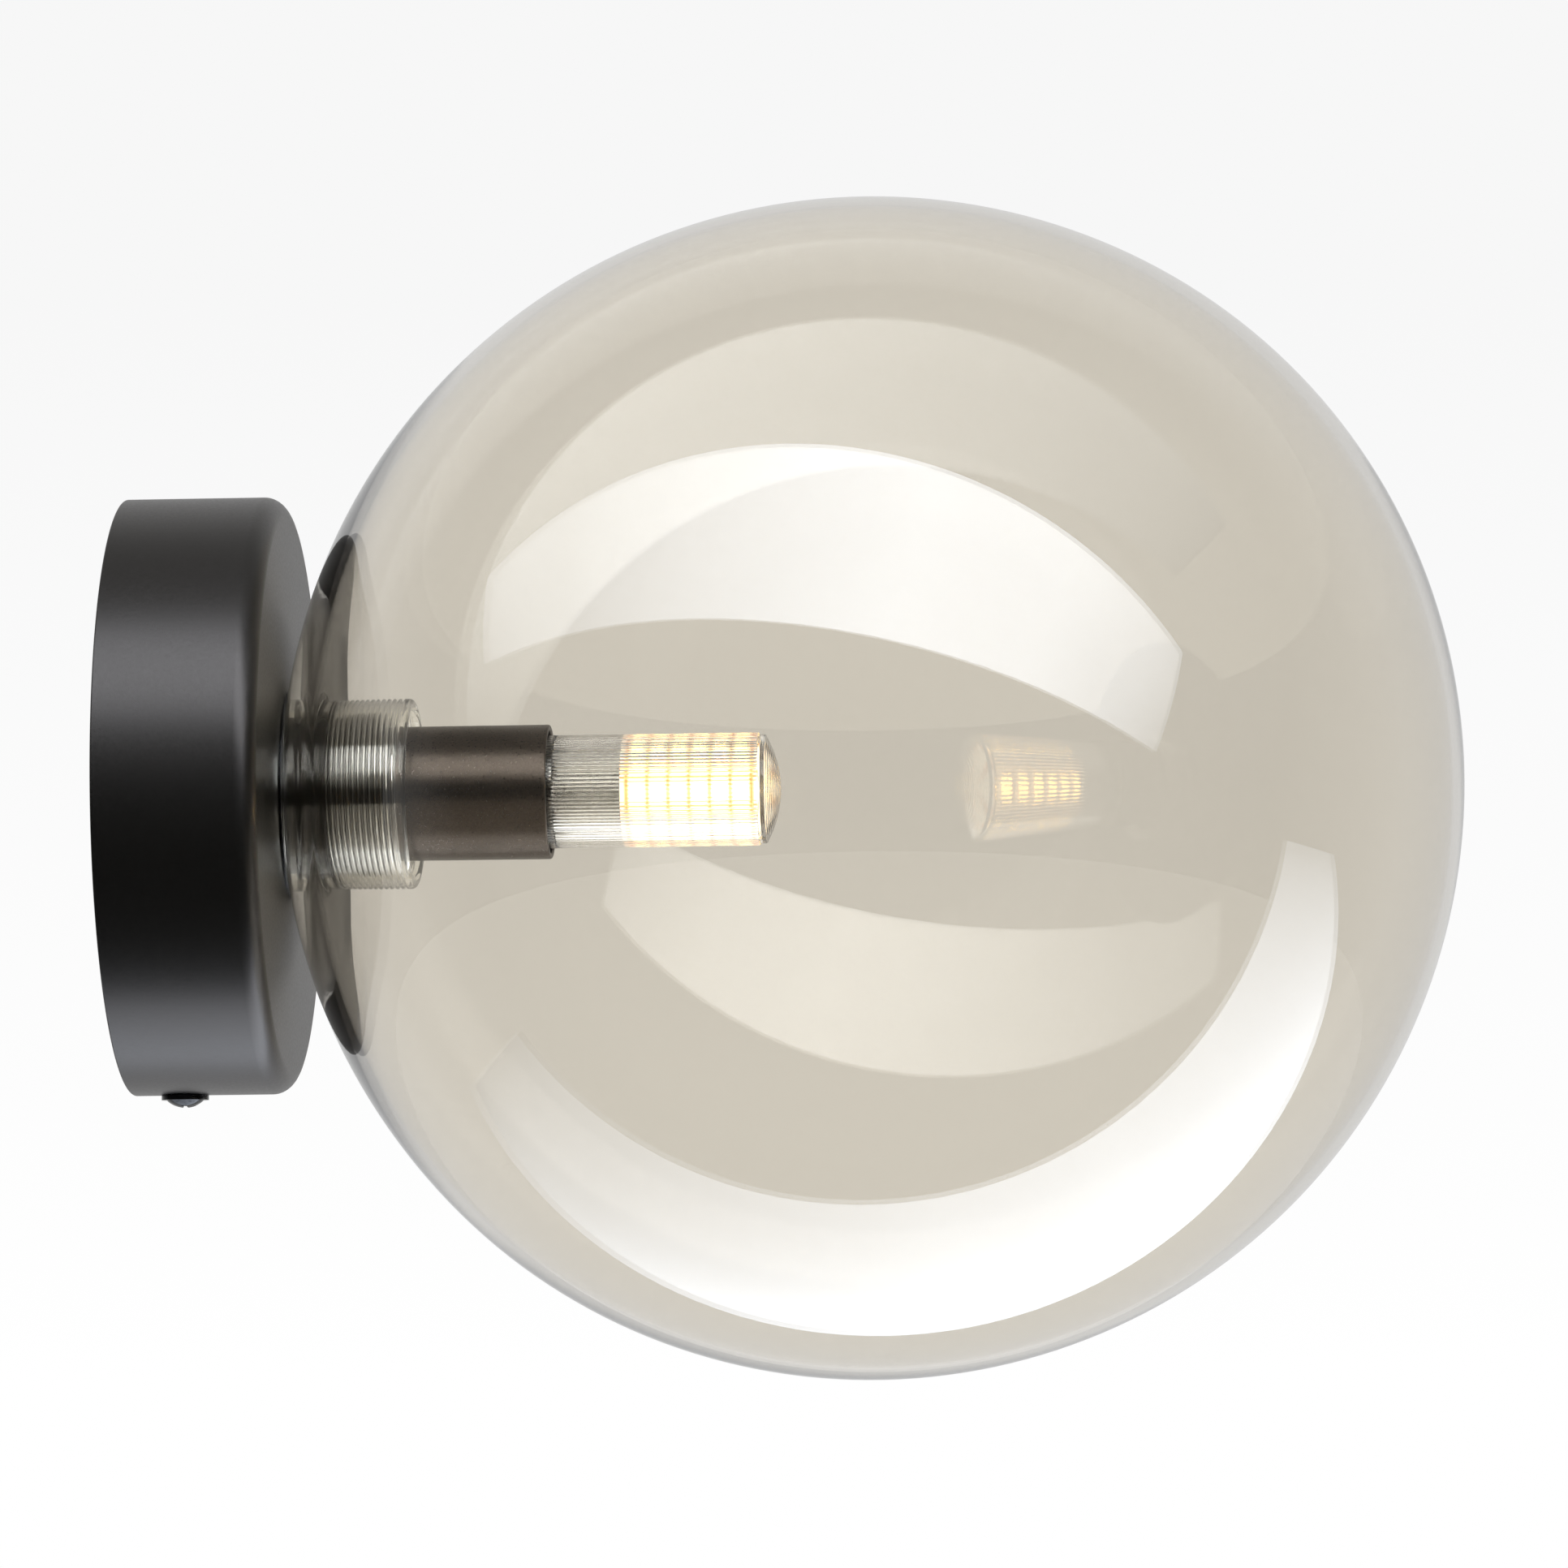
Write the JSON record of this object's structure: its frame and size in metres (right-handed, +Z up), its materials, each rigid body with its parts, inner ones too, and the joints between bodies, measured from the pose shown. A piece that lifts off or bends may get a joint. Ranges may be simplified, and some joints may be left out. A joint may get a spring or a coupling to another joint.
{
  "type": "globe wall sconce",
  "caption": "Wall sconce with a round black canopy, a black lamp tube and a smoked glass globe that screws on over a plug-in corn lamp; glass turns off, lamp pulls out.",
  "frame": {"origin": "midpoint between the two wall screw slots, on the back face of the wall bracket, which is also the lamp's axis and the plane of the wall", "axes": "+X away from the wall along the lamp and globe axis, +Z up, +Y completes the right-handed set; the picture looks along +Y"},
  "size_m": [0.2225, 0.197, 0.197],
  "materials": {
    "zinc_steel": "zinc-plated, dull",
    "bare_steel": "plain pressed steel",
    "black_rubber": "matte",
    "tinned_copper": "tinned, dull",
    "earth_sheath": "satin, green",
    "live_sheath": "satin, brown",
    "neutral_sheath": "satin, blue",
    "white_nylon": "moulded nylon",
    "brass": "turned",
    "black_steel": "satin black powder coat",
    "black_carrier": "satin black",
    "black_tube": "satin black powder coat",
    "black_screw": "black zinc, glossy",
    "steatite": "fired, unglazed",
    "nickel_contact": "nickel-plated spring strip",
    "nickel_wire": "drawn wire",
    "clear_silicone": "clear, soft",
    "smoked_glass": "blown, smoked brown-grey, polished",
    "clear_glass": "pressed, clear, threaded",
    "lamp_base_plastic": "moulded, heat-resistant",
    "driver_plastic": "moulded, pale",
    "white_board": "white solder mask",
    "light_chip": "yellow phosphor, lit warm white",
    "clear_cover": "clear polycarbonate, ribbed"
  },
  "bodies": {
    "base": {"wall_bracket": "zinc_steel", "cable_grommet": "black_rubber", "earth_screw": "zinc_steel", "earth_lug": "tinned_copper", "earth_lead": "earth_sheath", "terminal_block": "white_nylon", "terminal_inserts": "brass", "clamp_screws": "zinc_steel", "block_screws": "zinc_steel", "canopy": "black_steel", "canopy_hook": "bare_steel", "canopy_lock_screw": "black_screw", "threaded_nipple": "zinc_steel", "canopy_nut": "zinc_steel", "sleeve_nut": "zinc_steel", "tooth_washer": "zinc_steel", "glass_carrier": "black_carrier", "holder_sleeve": "black_tube", "socket_bracket": "bare_steel", "socket_body": "steatite", "live_contact": "nickel_contact", "neutral_contact": "nickel_contact", "live_lead": "live_sheath", "neutral_lead": "neutral_sheath"},
    "glass_seat": {"glass_gasket": "clear_silicone"},
    "globe": {"globe_shell": "smoked_glass", "globe_neck": "clear_glass"},
    "lamp": {"lamp_base": "lamp_base_plastic", "lamp_pins": "nickel_wire", "driver_pot": "driver_plastic", "led_base_board": "white_board", "led_end_board": "white_board", "led_boards": "white_board", "led_chips": "light_chip", "lamp_cover": "clear_cover"}
  },
  "joints": [
    {"name": "globe_travel", "type": "slide", "parent": "base", "child": "glass_seat", "axis": [1, 0, 0], "range_m": [0, 0.01]},
    {"name": "globe_turn", "type": "hinge", "parent": "glass_seat", "child": "globe", "pos_m": [0.124, 0, 0], "axis": [1, 0, 0], "range_deg": [0, 1800]},
    {"name": "lamp_pull", "type": "slide", "parent": "base", "child": "lamp", "axis": [1, 0, 0], "range_m": [0, 0.0115]}
  ],
  "couplings": [
    {"joint": "globe_travel", "follows": "globe_turn", "m_per_rad": 0.0003183}
  ]
}
